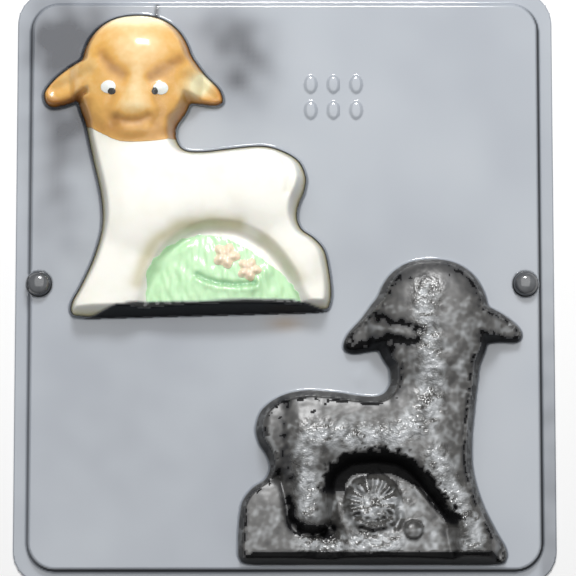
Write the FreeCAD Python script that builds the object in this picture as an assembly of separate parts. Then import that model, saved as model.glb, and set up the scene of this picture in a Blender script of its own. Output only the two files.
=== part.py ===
import FreeCAD, Part
import math
import os
from FreeCAD import Vector

# A clear thermoformed sheet with two lamb cavities, lying convex side up, and the painted
# casting that fills its front cavity. Millimetres. The origin is at the middle of the
# sheet, on the surface that the flange rests on, with +Y towards the front lamb's head.

# Sheet: a flange all round, a sloping rim, and a raised panel inside it
sheet_width = 203.0
sheet_length = 225.0
sheet_wall = 0.8
sheet_corner_radius = 13.0
flange_width = 4.9
rim_height = 3.6
rim_run = 1.1
rim_fillet = 0.7
panel_corner_radius = 10.0

# Locating buttons, near the middle of each long side
button_radius = 4.6
button_foot = 0.5
button_straight = 2.0
button_crown = 2.6
left_button_inset = 3.2
right_button_inset = 5.1

# Lamb cavities, measured where they meet the panel; the back half mirrors the front half
lamb_width = 100.0
lamb_height = 115.0
body_depth = 15.0
front_side_gap = 14.3
front_top_gap = 3.4
front_turn = 1.5
back_side_gap = 12.4
back_base_gap = 1.6
base_draft = 16.0

# Outlines of each lamb where the sheet's outer face meets the panel, as shares of its width
# and height from the middle of the base; the walls rise from them at the mould's draft
front_torso_outline_shares = [
    (-0.440, 0.740), (-0.424, 0.630), (-0.401, 0.520), (-0.374, 0.400), (-0.372, 0.300),
    (-0.405, 0.200), (-0.455, 0.110), (-0.491, 0.050), (-0.482, 0.010), (-0.455, -0.050),
    (0.465, -0.050), (0.488, 0.012), (0.494, 0.070), (0.487, 0.140), (0.471, 0.205),
    (0.431, 0.248), (0.388, 0.276), (0.373, 0.312), (0.380, 0.352), (0.402, 0.395),
    (0.410, 0.445), (0.384, 0.500), (0.322, 0.537), (0.245, 0.556), (0.140, 0.552),
    (0.020, 0.543), (-0.048, 0.550), (-0.074, 0.585), (-0.072, 0.640), (-0.085, 0.740),
    (-0.230, 0.770),
]
back_torso_outline_shares = [
    (-0.405, 0.740), (-0.395, 0.630), (-0.380, 0.520), (-0.367, 0.400), (-0.372, 0.300),
    (-0.405, 0.200), (-0.455, 0.110), (-0.491, 0.050), (-0.482, 0.010), (-0.455, -0.050),
    (0.470, -0.050), (0.496, 0.012), (0.506, 0.070), (0.503, 0.140), (0.490, 0.205),
    (0.452, 0.250), (0.405, 0.278), (0.388, 0.312), (0.400, 0.352), (0.430, 0.395),
    (0.441, 0.445), (0.415, 0.505), (0.345, 0.548), (0.255, 0.566), (0.140, 0.560),
    (0.030, 0.547), (-0.030, 0.552), (-0.060, 0.585), (-0.062, 0.640), (-0.080, 0.740),
    (-0.230, 0.770),
]
front_left_ear_outline_shares = [
    (-0.330, 0.880), (-0.424, 0.860), (-0.500, 0.822), (-0.550, 0.785), (-0.580, 0.748),
    (-0.575, 0.712), (-0.548, 0.694), (-0.500, 0.698), (-0.440, 0.712), (-0.290, 0.740),
    (-0.270, 0.820),
]
back_left_ear_outline_shares = [
    (-0.330, 0.870), (-0.450, 0.832), (-0.530, 0.785), (-0.558, 0.748), (-0.535, 0.718),
    (-0.470, 0.718), (-0.390, 0.716), (-0.290, 0.740), (-0.270, 0.820),
]
front_right_ear_outline_shares = [
    (-0.170, 0.820), (-0.150, 0.730), (-0.060, 0.700), (0.010, 0.690), (0.072, 0.684),
    (0.104, 0.700), (0.092, 0.745), (0.037, 0.798), (-0.024, 0.868), (-0.100, 0.890),
]
back_right_ear_outline_shares = [
    (-0.170, 0.820), (-0.150, 0.730), (-0.060, 0.700), (0.010, 0.690), (0.075, 0.684),
    (0.112, 0.700), (0.100, 0.745), (0.045, 0.800), (-0.020, 0.870), (-0.100, 0.890),
]
front_head_oval_shares = (-0.222, 0.791, 0.218, 0.212)
back_head_oval_shares = (-0.220, 0.787, 0.215, 0.208)
head_squareness = 2.3
head_sides = 20
wall_draft = 12.0
tallest_share = 1.400
tallest_ear_share = 0.667

# Relief inside the outlines: each limb runs between two balls, and each ball is given as
# its place, in the same shares, then as the height of its centre over the cavity's mouth
# and its radius, as shares of the body's depth
neck_limb_shares = ((-0.225, 0.626, -1.040, 2.000), (-0.200, 0.365, -0.973, 2.000))
trunk_limb_shares = ((-0.150, 0.426, -0.893, 1.867), (0.280, 0.417, -0.840, 1.867))
fore_leg_limb_shares = ((-0.220, 0.313, -0.640, 1.600), (-0.360, 0.043, -0.600, 1.467))
haunch_limb_shares = ((0.280, 0.383, -0.587, 1.600), (0.330, 0.191, -0.560, 1.467))
hind_foot_limb_shares = ((0.380, 0.191, -0.480, 1.333), (0.380, 0.026, -0.493, 1.333))
hind_leg_limb_shares = ((0.240, 0.400, -0.060, 1.100), (0.240, 0.165, 0.094, 0.800))
front_left_ear_limb_shares = ((-0.360, 0.817, -0.233, 0.867), (-0.540, 0.745, -0.227, 0.600))
back_left_ear_limb_shares = ((-0.360, 0.817, -0.233, 0.867), (-0.530, 0.752, -0.227, 0.533))
right_ear_limb_shares = ((-0.080, 0.809, -0.233, 0.867), (0.085, 0.713, -0.227, 0.533))
head_ball_shares = (-0.223, 0.778, -1.360, 2.533)
muzzle_ball_shares = (-0.225, 0.705, 0.433, 0.833)
front_hill_ball_shares = (0.075, -0.035, -4.173, 5.000)
back_hill_ball_shares = (-0.040, 0.035, -4.320, 5.000)
rump_hill_ball_shares = (0.390, 0.070, -4.360, 5.000)
flower_ball_shares = [(0.098, 0.198, 0.073, 0.533), (0.183, 0.150, 0.220, 0.433)]
tuft_ball_shares = (0.004, 0.205, -0.520, 1.200)
bud_ball_shares = (-0.146, 0.127, 0.400, 0.307)

# The space between the legs, under the belly, sinks from the relief down to a low floor
front_arch_shares = [
    (0.380, -0.070), (0.360, 0.070), (0.310, 0.157), (0.240, 0.226), (0.140, 0.270),
    (0.030, 0.278), (-0.080, 0.235), (-0.160, 0.157), (-0.205, 0.052), (-0.220, -0.070),
]
front_arch_draft = 45.0
back_arch_shares = [
    (0.185, 0.226), (0.175, 0.287), (0.115, 0.348), (0.030, 0.364), (-0.060, 0.362),
    (-0.130, 0.348), (-0.190, 0.313), (-0.240, 0.252), (-0.310, 0.165), (-0.315, 0.104),
    (-0.300, -0.070), (0.150, -0.070), (0.155, 0.087), (0.170, 0.157),
]
back_arch_draft = 24.0
arch_level = 11.0
arch_floor = 7.0
filler_depth = 8.5
arch_top_share = 0.380

# Balls are turned in flat facets: sides round the axis, and the longest chord along it
ball_sides = 20
ball_chord_angle = 20.0
ball_chord = 9.0

# Casting: set off the cavity wall all round; the colours are poured first, in their own
# zones, and the ivory fill backs them. Zones are (x, y) shares of the lamb
casting_clearance = 0.35
colour_back = 2.0
chin_zone_shares = (-0.230, 0.826)
chin_zone_radius = 28.0
cheek_line_share = 0.670
grass_zone_shares = (0.080, 0.010)
grass_zone_radius = 30.0
flower_radii = [4.4, 3.8]
flower_depth = 2.2
eye_white_shares = {"left": (-0.328, 0.768), "right": (-0.119, 0.753)}
eye_white_radius = 2.7
eye_white_depth = 1.6
pupil_shares = {"left": (-0.315, 0.750), "right": (-0.151, 0.743)}
pupil_radius = 1.3
pupil_depth = 0.8

# One overrun serves every cut
overrun = 1.0

panel_top = rim_height + sheet_wall
relief_limit = panel_top + tallest_share * body_depth
panel_width = sheet_width - 2 * (flange_width + rim_run)
panel_length = sheet_length - 2 * (flange_width + rim_run)


def solid_of(shape):
    """The largest solid of a shape, so that each node is one body."""
    return max(shape.Solids, key=lambda body: body.Volume)


def rounded_rectangle(width, length, radius, z):
    """A closed wire of four corner arcs and four straight sides."""
    corners = [(1, 1), (-1, 1), (-1, -1), (1, -1)]
    arcs = []
    for quarter, (side_x, side_y) in enumerate(corners):
        centre = Vector(side_x * (width / 2 - radius), side_y * (length / 2 - radius), z)
        turns = [math.radians(90 * quarter + turn) for turn in (0, 45, 90)]
        arcs.append([centre + Vector(radius * math.cos(turn), radius * math.sin(turn), 0)
                     for turn in turns])
    edges = []
    for arc, following in zip(arcs, arcs[1:] + arcs[:1]):
        edges.append(Part.Arc(*arc).toShape())
        edges.append(Part.makeLine(arc[-1], following[0]))
    return Part.Wire(edges)


def raised_block(inset, low, top, fillet):
    """The panel's raised block with sloping sides, set in by a wall for its hollow."""
    slope = rim_run / rim_height

    def outline(z):
        out = slope * (panel_top - z) - inset
        return rounded_rectangle(panel_width + 2 * out, panel_length + 2 * out,
                                 panel_corner_radius + out, z)

    block = Part.makeLoft([outline(low), outline(top)], True, True)
    rim = [edge for edge in block.Edges if edge.BoundBox.ZMin > top - fillet]
    return block.makeFillet(fillet, rim)


def button(x, grow, low):
    """A locating button: a chamfered foot, a straight wall and a domed end."""
    radius = button_radius - sheet_wall + grow
    foot = panel_top + button_foot
    shoulder = foot + button_straight
    top = shoulder + button_crown - sheet_wall + grow
    sphere = (radius ** 2 + (top - shoulder) ** 2) / (2 * (top - shoulder))
    half = math.asin(radius / sphere) / 2
    brow = Vector(sphere * math.sin(half), 0, top - sphere * (1 - math.cos(half)))
    edges = [
        Part.makeLine(Vector(0, 0, low), Vector(radius + button_foot, 0, low)),
        Part.makeLine(Vector(radius + button_foot, 0, low), Vector(radius + button_foot, 0, panel_top)),
        Part.makeLine(Vector(radius + button_foot, 0, panel_top), Vector(radius, 0, foot)),
        Part.makeLine(Vector(radius, 0, foot), Vector(radius, 0, shoulder)),
        Part.Arc(Vector(radius, 0, shoulder), brow, Vector(0, 0, top)).toShape(),
        Part.makeLine(Vector(0, 0, top), Vector(0, 0, low)),
    ]
    solid = Part.Face(Part.Wire(edges)).revolve(Vector(0, 0, 0), Vector(0, 0, 1), 360)
    solid.translate(Vector(x, 0, 0))
    return solid


def ball_at(shares, grow):
    """A ball's centre and radius from its shares."""
    x, y, height, radius = shares
    centre = Vector(x * lamb_width, y * lamb_height, rim_height + height * body_depth)
    return centre, radius * body_depth + grow


def faceted_turning(profile, place, axis):
    """A turned form in flat facets: the profile's points, (along, radius), ring the axis."""
    spin = FreeCAD.Rotation(Vector(0, 0, 1), axis)
    rings = []
    for along, radius in profile:
        turns = [2 * math.pi * side / ball_sides for side in range(ball_sides)]
        ring = [Vector(radius * math.cos(turn), radius * math.sin(turn), along) for turn in turns]
        rings.append([place + spin.multVec(point) for point in ring])
    faces = []
    for low, high in zip(rings, rings[1:]):
        for side in range(ball_sides):
            corners = [low[side - 1], low[side], high[side], high[side - 1]]
            if low is rings[0]:
                corners = [low[0], high[side], high[side - 1]]
            elif high is rings[-1]:
                corners = [low[side - 1], low[side], high[0]]
            faces.append(Part.Face(Part.makePolygon(corners + corners[:1])))
    solid = Part.Solid(Part.Shell(faces))
    if solid.Volume < 0:
        solid.reverse()
    return solid


def ball_profile(at, radius, first, last):
    """Points (along, radius) down a ball from one angle to another, in equal chords."""
    chord = min(math.radians(ball_chord_angle), ball_chord / radius)
    steps = max(1, math.ceil((last - first) / chord))
    turns = [first + (last - first) * step / steps for step in range(steps + 1)]
    return [(at - radius * math.cos(turn), radius * math.sin(turn)) for turn in turns]


def limb(shares, grow):
    """Two balls joined by the cone that touches both."""
    (start, start_radius), (end, end_radius) = [ball_at(ball, grow) for ball in shares]
    axis = end - start
    touch = math.pi / 2 - math.asin((start_radius - end_radius) / axis.Length)
    profile = ball_profile(0, start_radius, 0, touch)
    profile += ball_profile(axis.Length, end_radius, touch, math.pi)
    return faceted_turning(profile, start, axis)


def ball(shares, grow):
    """A ball's part above the flange, on a flat disc."""
    centre, radius = ball_at(shares, grow)
    low = math.acos(max(-1, min(1, (centre.z + overrun) / radius)))
    profile = ball_profile(0, radius, low, math.pi)
    if low:
        profile.insert(0, (profile[0][0], 0))
    return faceted_turning(profile, centre, Vector(0, 0, 1))


def side_normal(start, end):
    """The level direction out of a side that runs counter-clockwise."""
    side = end - start
    return Vector(side.y, -side.x, 0) * (1 / side.Length)


def moved_out(corners, out):
    """A closed outline's corners, with each side moved out by the same distance."""
    moved = []
    for before, corner, after in zip(corners[-1:] + corners[:-1], corners, corners[1:] + corners[:1]):
        first = side_normal(before, corner)
        second = side_normal(corner, after)
        moved.append(corner + (first + second) * (out / (1 + first.dot(second))))
    return moved


def drafted_block(shares, out_low, out_high, low, high):
    """A block on an outline, its sides moved out by one distance at the foot, another on top."""
    corners = [Vector(x * lamb_width, y * lamb_height, 0) for x, y in shares]
    foot = [corner + Vector(0, 0, low) for corner in moved_out(corners, out_low)]
    top = [corner + Vector(0, 0, high) for corner in moved_out(corners, out_high)]
    faces = [Part.Face(Part.makePolygon(ring + ring[:1])) for ring in (foot, top)]
    for side in range(len(corners)):
        corners_of_side = [foot[side - 1], foot[side], top[side], top[side - 1]]
        faces.append(Part.Face(Part.makePolygon(corners_of_side + corners_of_side[:1])))
    solid = Part.Solid(Part.Shell(faces))
    if solid.Volume < 0:
        solid.reverse()
    return solid


def walls(shares, grow, share):
    """The block that a cavity's walls stand round: it narrows upwards by the draft."""
    turn = math.radians(wall_draft)
    low = rim_height - overrun
    high = rim_height + share * body_depth + grow
    outs = [(grow - sheet_wall) / math.cos(turn) - (z - panel_top) * math.tan(turn)
            for z in (low, high)]
    return drafted_block(shares, outs[0], outs[1], low, high)


def head_outline(oval):
    """The head's oval, a little squarer than an ellipse."""
    x, y, half_width, half_height = oval
    points = []
    for side in range(head_sides):
        turn = 2 * math.pi * side / head_sides
        across = math.copysign(abs(math.cos(turn)) ** (2 / head_squareness), math.cos(turn))
        along = math.copysign(abs(math.sin(turn)) ** (2 / head_squareness), math.sin(turn))
        points.append((x + half_width * across, y + half_height * along))
    return points


def filler_block(grow):
    """A low block that fills the space between the legs before the arch is sunk into it."""
    xs = [x * lamb_width for x, y in front_arch_shares + back_arch_shares]
    low = Vector(min(xs), -lamb_height, 0)
    high = Vector(max(xs), arch_top_share * lamb_height, rim_height + filler_depth + grow)
    return Part.makeBox(high.x - low.x, high.y - low.y, high.z - low.z, low)


def arch_pocket(shares, draft, hill, grow):
    """What is sunk between the legs: down to the floor and to the hill that rises from it."""
    turn = math.radians(draft)
    low = rim_height + arch_floor + grow
    outs = [(z - panel_top - arch_level) * math.tan(turn) - (grow - sheet_wall) / math.cos(turn)
            for z in (low, relief_limit)]
    return drafted_block(shares, outs[0], outs[1], low, relief_limit).cut(ball(hill, grow))


def base_wedge(grow):
    """What lies past the lamb's base: its standing face leans back by the mould's draft."""
    size = lamb_width + lamb_height
    block = Part.makeBox(2 * size, size, 2 * size, Vector(-size, -size, -size))
    block.rotate(Vector(0, 0, 0), Vector(1, 0, 0), -base_draft)
    block.translate(Vector(0, (sheet_wall - grow) / math.cos(math.radians(base_draft)), panel_top))
    return block


def lamb_form(grow, mouth, side):
    """One lamb relief, facing left, on the middle of its base, cut off flat at its mouth."""
    size = 2 * (lamb_width + lamb_height)
    below = Part.makeBox(size, size, size, Vector(-size / 2, -size / 2, mouth - size))
    hill = side["hill"]
    torso = [limb(shares, grow).cut(below) for shares in side["limbs"]]
    torso += [ball(shares, grow).cut(below) for shares in side["mounds"] + [hill]]
    torso.append(filler_block(grow).cut(below))
    torso = torso[0].fuse(torso[1:]).common(walls(side["torso"], grow, tallest_share))
    torso = torso.cut(arch_pocket(side["arch"], side["arch_draft"], hill, grow))
    head = [ball(shares, grow).cut(below) for shares in side["head"]]
    head += [limb(shares, grow).cut(below) for shares in side["ears"]]
    head = head[0].fuse(head[1:])
    parts = [head.common(walls(head_outline(side["head_oval"]), grow, tallest_share))]
    for outline in side["ear_outlines"]:
        parts.append(head.common(walls(outline, grow, tallest_ear_share)))
    parts += [ball(shares, grow).cut(below) for shares in side["balls"]]
    return solid_of(torso.fuse(parts).cut(base_wedge(grow)))


def place_front(shape):
    """Put a lamb where the front half lies, turned a little, its head at the far rim."""
    placed = shape.copy()
    placed.rotate(Vector(0, 0, 0), Vector(0, 0, 1), front_turn)
    placed.translate(Vector(lamb_width / 2 + front_side_gap - panel_width / 2,
                            panel_length / 2 - front_top_gap - lamb_height, 0))
    return placed


def place_back(shape):
    """Put a mirrored lamb where the back half lies, its base along the near rim."""
    placed = shape.mirror(Vector(0, 0, 0), Vector(1, 0, 0))
    placed.translate(Vector(panel_width / 2 - back_side_gap - lamb_width / 2,
                            back_base_gap - panel_length / 2, 0))
    return placed


front = {
    "torso": front_torso_outline_shares,
    "head_oval": front_head_oval_shares,
    "ear_outlines": [front_left_ear_outline_shares, front_right_ear_outline_shares],
    "ears": [front_left_ear_limb_shares, right_ear_limb_shares],
    "limbs": [trunk_limb_shares, neck_limb_shares, fore_leg_limb_shares, haunch_limb_shares,
              hind_foot_limb_shares],
    "mounds": [],
    "head": [head_ball_shares, muzzle_ball_shares],
    "arch": front_arch_shares,
    "arch_draft": front_arch_draft,
    "hill": front_hill_ball_shares,
    "balls": flower_ball_shares,
}
back = {
    "torso": back_torso_outline_shares,
    "head_oval": back_head_oval_shares,
    "ear_outlines": [back_left_ear_outline_shares, back_right_ear_outline_shares],
    "ears": [back_left_ear_limb_shares, right_ear_limb_shares],
    "limbs": [trunk_limb_shares, neck_limb_shares, fore_leg_limb_shares, hind_leg_limb_shares],
    "mounds": [rump_hill_ball_shares],
    "head": [head_ball_shares],
    "arch": back_arch_shares,
    "arch_draft": back_arch_draft,
    "hill": back_hill_ball_shares,
    "balls": [tuft_ball_shares, bud_ball_shares],
}


def mould_sheet():
    """One formed sheet: every raised form grown by the wall, less the same form."""
    button_places = [left_button_inset - panel_width / 2, panel_width / 2 - right_button_inset]
    mid_wall = rim_height + sheet_wall / 2
    flange = Part.Face(rounded_rectangle(sheet_width, sheet_length, sheet_corner_radius, 0))
    outside = flange.extrude(Vector(0, 0, sheet_wall))
    outside = outside.fuse([
        raised_block(0, 0, panel_top, rim_fillet + sheet_wall),
        place_front(lamb_form(sheet_wall, mid_wall, front)),
        place_back(lamb_form(sheet_wall, mid_wall, back)),
    ] + [button(x, sheet_wall, sheet_wall / 2) for x in button_places])
    inside = [
        raised_block(sheet_wall, -overrun, rim_height, rim_fillet),
        place_front(lamb_form(0, rim_height - overrun, front)),
        place_back(lamb_form(0, rim_height - overrun, back)),
    ] + [button(x, 0, -overrun) for x in button_places]
    for hollow in inside:
        outside = outside.cut(hollow)
    return solid_of(outside)


def upright(place, radius, low):
    """A round zone of the lamb from a height upwards."""
    x, y = place
    return Part.makeCylinder(radius, lamb_width, Vector(x * lamb_width, y * lamb_height, low))


def spot(casting, place, radius, depth):
    """A round spot of colour, as deep as given below the casting's highest point in it."""
    top = casting.common(upright(place, radius, 0)).BoundBox.ZMax
    return upright(place, radius, top - depth)


def castings():
    """The front half's casting, cut into the colours it is poured in."""
    casting = lamb_form(-casting_clearance, rim_height, front)
    colour_low = rim_height + colour_back
    zones = {}
    for side, place in pupil_shares.items():
        zones[side + "_pupil"] = spot(casting, place, pupil_radius, pupil_depth)
    for side, place in eye_white_shares.items():
        zones[side + "_eye_white"] = spot(casting, place, eye_white_radius, eye_white_depth)
    for side, shares, radius in zip(("left", "right"), flower_ball_shares, flower_radii):
        zones[side + "_flower"] = spot(casting, shares[:2], radius, flower_depth)
    cheeks = Part.makeBox(2 * lamb_width, lamb_height, lamb_width,
                          Vector(-lamb_width, cheek_line_share * lamb_height, colour_low))
    zones["face_layer"] = upright(chin_zone_shares, chin_zone_radius, colour_low).fuse(cheeks)
    zones["grass_layer"] = upright(grass_zone_shares, grass_zone_radius, colour_low)
    pieces = {}
    rest = casting
    for name, zone in zones.items():
        pieces[name] = place_front(solid_of(rest.common(zone)))
        rest = rest.cut(zone)
    pieces["lamb_body_fill"] = place_front(solid_of(rest))
    return pieces


os.makedirs("parts", exist_ok=True)
nodes = {"mould_sheet": mould_sheet()}
nodes.update(castings())
for name, shape in nodes.items():
    shape.exportStep("parts/" + name + ".step")
    print(name, "solids", len(shape.Solids), "faces", len(shape.Faces), "valid", shape.isValid(),
          "volume", round(shape.Volume, 1))
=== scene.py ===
import math

import bmesh
import bpy
import numpy as np
from mathutils import Matrix, Vector, noise


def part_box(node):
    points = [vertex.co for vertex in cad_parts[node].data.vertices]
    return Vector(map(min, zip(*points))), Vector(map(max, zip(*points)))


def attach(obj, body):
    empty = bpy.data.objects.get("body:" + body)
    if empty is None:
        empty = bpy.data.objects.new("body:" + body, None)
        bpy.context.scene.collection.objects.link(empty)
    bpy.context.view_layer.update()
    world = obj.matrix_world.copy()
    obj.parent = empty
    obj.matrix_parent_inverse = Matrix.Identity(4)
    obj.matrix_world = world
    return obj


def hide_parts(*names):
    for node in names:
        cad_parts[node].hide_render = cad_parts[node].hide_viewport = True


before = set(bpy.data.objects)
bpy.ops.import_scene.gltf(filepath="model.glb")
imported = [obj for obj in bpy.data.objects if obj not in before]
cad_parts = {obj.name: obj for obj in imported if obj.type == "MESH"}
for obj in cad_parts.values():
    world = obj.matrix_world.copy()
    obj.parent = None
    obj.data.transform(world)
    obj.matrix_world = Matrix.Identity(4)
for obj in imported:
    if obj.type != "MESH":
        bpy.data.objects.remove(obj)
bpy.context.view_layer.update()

MM = 0.001

# The sheet, in millimetres, from the frame
low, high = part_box("mould_sheet")
SHEET_WIDTH = (high.x - low.x) / MM
SHEET_LENGTH = (high.y - low.y) / MM
SHEET_CORNER = 13.0
WALL = 0.8
RIM_HEIGHT = 3.6
RIM_RUN = 1.1
PANEL_TOP = RIM_HEIGHT + WALL
PANEL_MARGIN = 6.0
PANEL_CORNER = 10.0
PANEL_WIDTH = SHEET_WIDTH - 2 * PANEL_MARGIN
PANEL_LENGTH = SHEET_LENGTH - 2 * PANEL_MARGIN

# Locating buttons: centre, then the turned profile from its foot to its crown
BUTTON_PLACES = {"left": Vector((-92.3, 0, 0)), "right": Vector((90.4, 0, 0))}
BUTTON_FOOT_RADIUS = 5.2
BUTTON_WALL_RADIUS = 4.5
BUTTON_PROFILE = [(5.2, 0.0), (4.9, 0.08), (4.7, 0.32), (4.62, 0.8), (4.6, 1.4), (4.58, 2.2),
                  (4.35, 3.0), (3.8, 3.8), (3.0, 4.42), (2.0, 4.84), (1.0, 5.05), (0.0, 5.1)]
BUTTON_SIDES = 64

# The lambs, in millimetres from the middle of each base, facing left
LAMB_WIDTH = 100.0
LAMB_HEIGHT = 115.0
FRONT_PLACE = Vector((-31.2, -11.9))
FRONT_TURN = math.radians(1.5)
BACK_PLACE = Vector((33.1, -104.9))
WALL_SLOPE = 4.7
BASE_SLOPE = 3.5
FOOT_FILLET = 2.6
CREST_FRONT = 3.4
CREST_BACK = 2.0
BASE_CREST = 1.0

# The sheet thins where it is drawn down the cavity walls, and the casting fills what it leaves
DRAWN_WALL = 0.45
CASTING_DROP = 0.70
FOOT_INSET = 0.52
WALL_INSET = 0.60

# Parting lines of the sheet's three pieces, clear of both lambs
FRONT_EAST = 21.0
FRONT_SOUTH = -14.5
BACK_WEST = -19.5
BACK_NORTH = 11.5

# How near to a line a point of the mesh has to lie to be moved onto it
SHEET_SNAP = 0.28
BUTTON_SNAP = 0.14
LAMB_SNAP = 0.13
COLOUR_SNAP = 0.12

# Outlines as shares of the lamb's width and height
FRONT_TORSO = [
    (-0.440, 0.740), (-0.424, 0.630), (-0.401, 0.520), (-0.374, 0.400), (-0.372, 0.300),
    (-0.405, 0.200), (-0.455, 0.110), (-0.490, 0.055), (-0.492, 0.018), (-0.455, 0.002),
    (-0.300, 0.000), (0.000, 0.000), (0.300, 0.000), (0.455, 0.002), (0.486, 0.022),
    (0.494, 0.070), (0.487, 0.140), (0.471, 0.205), (0.431, 0.248), (0.388, 0.276),
    (0.373, 0.312), (0.380, 0.352), (0.402, 0.395), (0.410, 0.445), (0.384, 0.500),
    (0.322, 0.537), (0.245, 0.556), (0.140, 0.552), (0.020, 0.543), (-0.048, 0.550),
    (-0.074, 0.585), (-0.072, 0.640), (-0.085, 0.740), (-0.230, 0.770),
]
BACK_TORSO = [
    (-0.405, 0.740), (-0.395, 0.630), (-0.380, 0.520), (-0.367, 0.400), (-0.372, 0.300),
    (-0.405, 0.200), (-0.455, 0.110), (-0.490, 0.055), (-0.492, 0.018), (-0.455, 0.002),
    (-0.300, 0.000), (0.000, 0.000), (0.300, 0.000), (0.460, 0.002), (0.502, 0.022),
    (0.506, 0.070), (0.503, 0.140), (0.490, 0.205), (0.452, 0.250), (0.405, 0.278),
    (0.388, 0.312), (0.400, 0.352), (0.430, 0.395), (0.441, 0.445), (0.415, 0.505),
    (0.345, 0.548), (0.255, 0.566), (0.140, 0.560), (0.030, 0.547), (-0.030, 0.552),
    (-0.060, 0.585), (-0.062, 0.640), (-0.080, 0.740), (-0.230, 0.770),
]
FRONT_EARS = [
    [(-0.330, 0.880), (-0.424, 0.860), (-0.500, 0.822), (-0.550, 0.785), (-0.580, 0.748),
     (-0.575, 0.712), (-0.548, 0.694), (-0.500, 0.698), (-0.440, 0.712), (-0.290, 0.740),
     (-0.270, 0.820)],
    [(-0.170, 0.820), (-0.150, 0.730), (-0.060, 0.700), (0.010, 0.690), (0.072, 0.684),
     (0.104, 0.700), (0.092, 0.745), (0.037, 0.798), (-0.024, 0.868), (-0.100, 0.890)],
]
BACK_EARS = [
    [(-0.330, 0.870), (-0.450, 0.832), (-0.530, 0.785), (-0.558, 0.748), (-0.540, 0.722),
     (-0.470, 0.722), (-0.390, 0.716), (-0.290, 0.740), (-0.270, 0.820)],
    [(-0.170, 0.820), (-0.150, 0.730), (-0.060, 0.700), (0.010, 0.692), (0.075, 0.684),
     (0.112, 0.700), (0.100, 0.745), (0.045, 0.800), (-0.020, 0.870), (-0.100, 0.890)],
]
FRONT_HEAD = (-0.222, 0.791, 0.218, 0.212)
BACK_HEAD = (-0.220, 0.787, 0.215, 0.208)
HEAD_SQUARENESS = 2.3


# Shapes in the plane


def closed_curve(points, steps=5):
    """A smooth closed line through a few points (Catmull-Rom)."""
    points = np.array(points, float)
    turns = np.linspace(0, 1, steps, endpoint=False)[:, None]
    line = []
    for index in range(len(points)):
        a, b, c, d = [points[(index + step) % len(points)] for step in (-1, 0, 1, 2)]
        line.append(0.5 * (2 * b + (c - a) * turns + (2 * a - 5 * b + 4 * c - d) * turns ** 2
                           + (3 * b - a - 3 * c + d) * turns ** 3))
    return np.concatenate(line)


def in_millimetres(shares):
    return [(x * LAMB_WIDTH, y * LAMB_HEIGHT) for x, y in shares]


def head_points(oval, count=24):
    x, y, half_width, half_height = oval
    power = 2 / HEAD_SQUARENESS
    points = []
    for turn in np.linspace(0, 2 * math.pi, count, endpoint=False):
        across = math.copysign(abs(math.cos(turn)) ** power, math.cos(turn))
        along = math.copysign(abs(math.sin(turn)) ** power, math.sin(turn))
        points.append((x + half_width * across, y + half_height * along))
    return in_millimetres(points)


def lamb_loops(torso, head, ears):
    """A lamb's outline as closed lines: its torso, its head and each ear."""
    loops = [closed_curve(in_millimetres(torso)), closed_curve(head_points(head), 3)]
    return loops + [closed_curve(in_millimetres(ear)) for ear in ears]


FRONT_LOOPS = lamb_loops(FRONT_TORSO, FRONT_HEAD, FRONT_EARS)
BACK_LOOPS = lamb_loops(BACK_TORSO, BACK_HEAD, BACK_EARS)


def line_distance(points, line, closed=False):
    """Distance of each point to a broken line."""
    starts = line if closed else line[:-1]
    ends = np.roll(line, -1, axis=0) if closed else line[1:]
    best = np.full(len(points), np.inf)
    for start, end in zip(starts, ends):
        along = end - start
        share = np.clip(((points - start) @ along) / (along @ along), 0, 1)
        gap = points - start - share[:, None] * along
        best = np.minimum(best, np.einsum("ij,ij->i", gap, gap))
    return np.sqrt(best)


def loop_distance(points, loop):
    """Signed distance to a closed line, positive inside."""
    inside = np.zeros(len(points), bool)
    x, y = points.T
    for (x0, y0), (x1, y1) in zip(loop, np.roll(loop, -1, axis=0)):
        crosses = (y0 > y) != (y1 > y)
        if y0 != y1:
            inside ^= crosses & (x < x0 + (y - y0) * (x1 - x0) / (y1 - y0))
    gap = line_distance(points, loop, closed=True)
    return np.where(inside, gap, -gap)


def smooth_max(a, b, width):
    blend = np.clip(0.5 + 0.5 * (a - b) / width, 0, 1)
    return b + (a - b) * blend + width * blend * (1 - blend)


def smooth_min(a, b, width):
    return -smooth_max(-a, -b, width)


def smooth_step(value):
    value = np.clip(value, 0, 1)
    return value * value * (3 - 2 * value)


# Past these lines in its own frame a lamb counts as far away, and the blend joins its limbs
LAMB_REACH = 70
LAMB_SOUTH = -10
LAMB_NORTH = 128
FAR_OUTSIDE = -9.0
LIMB_BLEND = 1.2


def lamb_distance(points, loops):
    """Signed distance to a lamb's outline in its own frame, positive inside."""
    x, y = points.T
    near = (abs(x) < LAMB_REACH) & (y > LAMB_SOUTH) & (y < LAMB_NORTH)
    distance = np.full(len(points), FAR_OUTSIDE)
    if near.any():
        close = points[near]
        total = loop_distance(close, loops[0])
        for loop in loops[1:]:
            total = smooth_max(total, loop_distance(close, loop), LIMB_BLEND)
        distance[near] = total
    return distance


def rounded_distance(points, width, length, radius):
    """Signed distance to a rounded rectangle round the origin, positive inside."""
    over = np.abs(points) - np.array([width / 2 - radius, length / 2 - radius])
    outside = np.hypot(*np.maximum(over, 0).T)
    return radius - outside - np.minimum(np.max(over, axis=1), 0)


def to_front(points):
    x, y = (points - np.array(FRONT_PLACE)).T
    c, s = math.cos(FRONT_TURN), math.sin(FRONT_TURN)
    return np.stack([c * x + s * y, c * y - s * x], axis=1)


def to_back(points):
    x, y = (points - np.array(BACK_PLACE)).T
    return np.stack([-x, y], axis=1)


def sheet_outline(points):
    return rounded_distance(points, SHEET_WIDTH, SHEET_LENGTH, SHEET_CORNER)


def panel_outline(points):
    return rounded_distance(points, PANEL_WIDTH, PANEL_LENGTH, PANEL_CORNER)


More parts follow.
